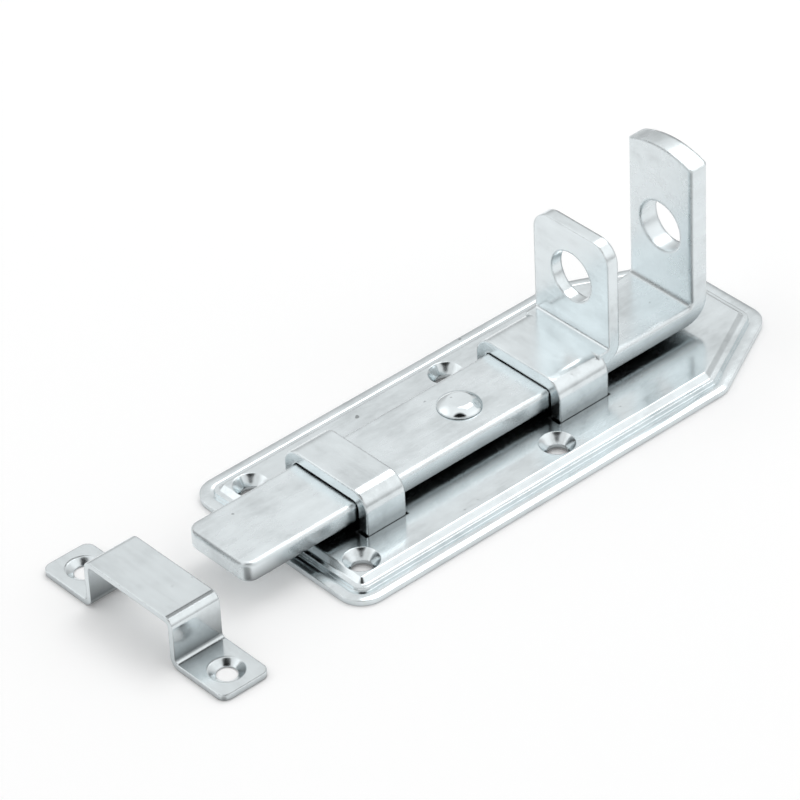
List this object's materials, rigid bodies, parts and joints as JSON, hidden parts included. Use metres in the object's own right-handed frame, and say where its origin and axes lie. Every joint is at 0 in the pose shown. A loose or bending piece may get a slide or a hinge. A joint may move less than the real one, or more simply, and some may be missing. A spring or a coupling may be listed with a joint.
{
  "type": "padlock slide bolt",
  "caption": "Flat slide bolt on a pressed plate with two upright padlock lugs and a separate folded keeper.",
  "frame": {"origin": "centre of the plate's four-screw pattern, on the plane of the plate's underside", "axes": "+X the way the bolt throws, towards the keeper; +Z out of the plate towards the bolt"},
  "size_m": [0.1732, 0.06, 0.049],
  "materials": {
    "plate_zinc": "bright zinc plating on pressed sheet",
    "guide_zinc": "bright zinc plating on folded sheet",
    "bolt_zinc": "satin zinc plating on flat bar",
    "rivet_zinc": "bright zinc plating on a struck rivet",
    "keeper_zinc": "bright zinc plating on folded sheet"
  },
  "bodies": {
    "plate": {"base_plate": "plate_zinc", "front_guide": "guide_zinc", "rear_guide": "guide_zinc", "keeper": "keeper_zinc"},
    "bolt": {"bolt": "bolt_zinc", "stop_rivet": "rivet_zinc"}
  },
  "joints": [
    {"name": "bolt_slide", "type": "slide", "parent": "plate", "child": "bolt", "axis": [1, 0, 0], "range_m": [-0.0122, 0.0226]}
  ]
}
